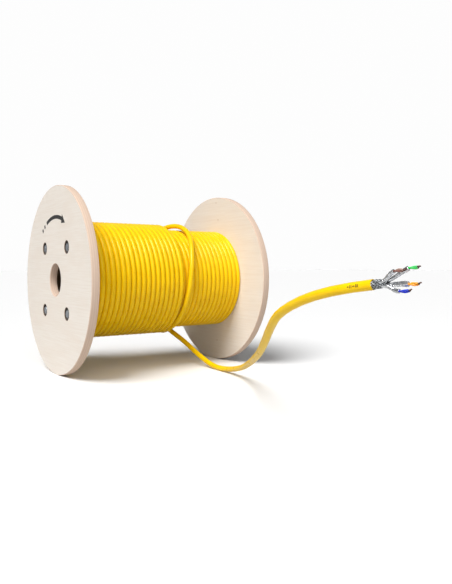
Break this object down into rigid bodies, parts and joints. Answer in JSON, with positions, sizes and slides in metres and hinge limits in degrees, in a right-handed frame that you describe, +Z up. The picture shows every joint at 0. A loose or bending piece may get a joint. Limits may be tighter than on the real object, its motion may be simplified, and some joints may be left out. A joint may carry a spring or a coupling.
{
  "type": "cable drum",
  "caption": "Plywood cable drum wound with yellow shielded network cable, one turn loose and the free end stripped to its foil-wrapped pairs.",
  "frame": {"origin": "on the floor, midway between the flanges and straight below the drum's axis", "axes": "+X along the drum's axis from the left flange to the right one, +Y to the back, +Z up; the free cable leaves towards -Y"},
  "size_m": [0.2834, 0.7297, 0.27],
  "materials": {
    "plywood": "sanded birch plywood, unfinished",
    "paper_tube": "spiral-wound kraft paper tube",
    "zinc_steel": "zinc-plated steel, dull",
    "cable_jacket": "semi-matt halogen-free jacket",
    "tinned_braid": "tinned copper wire braid",
    "shield_foil": "aluminium-faced polyester foil",
    "bare_copper": "bare copper wire, tarnished",
    "white_core": "solid polyethylene insulation",
    "brown_core": "solid polyethylene insulation",
    "green_core": "solid polyethylene insulation",
    "orange_core": "solid polyethylene insulation",
    "blue_core": "solid polyethylene insulation"
  },
  "bodies": {
    "root": {"left_flange": "plywood", "right_flange": "plywood", "barrel_tube": "paper_tube", "tie_rod_1": "zinc_steel", "tie_rod_2": "zinc_steel", "tie_rod_3": "zinc_steel", "tie_rod_4": "zinc_steel", "left_washer_1": "zinc_steel", "left_washer_2": "zinc_steel", "left_washer_3": "zinc_steel", "left_washer_4": "zinc_steel", "left_nut_1": "zinc_steel", "left_nut_2": "zinc_steel", "left_nut_3": "zinc_steel", "left_nut_4": "zinc_steel", "right_washer_1": "zinc_steel", "right_washer_2": "zinc_steel", "right_washer_3": "zinc_steel", "right_washer_4": "zinc_steel", "right_nut_1": "zinc_steel", "right_nut_2": "zinc_steel", "right_nut_3": "zinc_steel", "right_nut_4": "zinc_steel", "cable_lower_layer": "cable_jacket", "cable_upper_layer": "cable_jacket", "cable_free_end": "cable_jacket", "cable_braid": "tinned_braid", "brown_pair_foil": "shield_foil", "brown_core": "brown_core", "brown_copper": "bare_copper", "brown_white_core": "white_core", "brown_white_copper": "bare_copper", "green_pair_foil": "shield_foil", "green_core": "green_core", "green_copper": "bare_copper", "green_white_core": "white_core", "green_white_copper": "bare_copper", "orange_pair_foil": "shield_foil", "orange_core": "orange_core", "orange_copper": "bare_copper", "orange_white_core": "white_core", "orange_white_copper": "bare_copper", "blue_pair_foil": "shield_foil", "blue_core": "blue_core", "blue_copper": "bare_copper", "blue_white_core": "white_core", "blue_white_copper": "bare_copper"}
  },
  "joints": []
}
